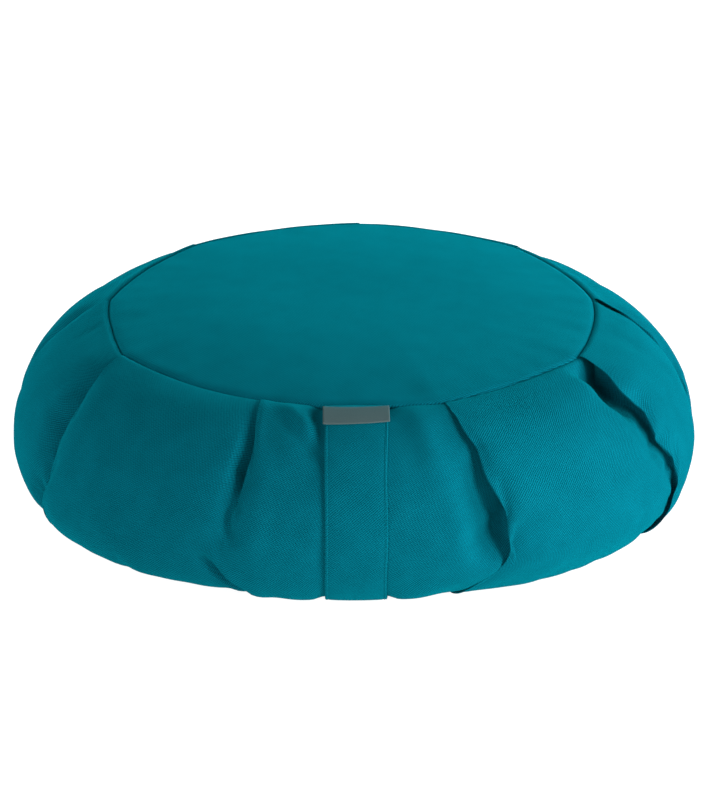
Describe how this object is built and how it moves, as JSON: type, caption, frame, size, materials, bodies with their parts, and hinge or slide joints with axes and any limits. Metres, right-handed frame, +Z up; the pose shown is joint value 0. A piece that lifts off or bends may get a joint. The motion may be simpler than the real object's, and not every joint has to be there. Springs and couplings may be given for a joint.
{
  "type": "zafu meditation cushion",
  "caption": "Round floor cushion for seated meditation: crowned cotton twill top, knife-pleated side, flat bottom, flat carry strap down the front and a small folded label at its top.",
  "frame": {"origin": "on the floor under the middle of the bottom panel", "axes": "+Z up through the middle of the cushion, -Y toward the carry strap at the front, +X to the right seen from the front"},
  "size_m": [0.4043, 0.4078, 0.116],
  "materials": {
    "panel_twill": "matte cotton twill",
    "side_twill": "matte cotton twill",
    "strap_twill": "matte cotton twill, topstitched",
    "label_weave": "fine matte weave"
  },
  "bodies": {
    "root": {"top_panel": "panel_twill", "pleated_side": "side_twill", "bottom_panel": "panel_twill", "handle_strap": "strap_twill", "label": "label_weave"}
  },
  "joints": []
}
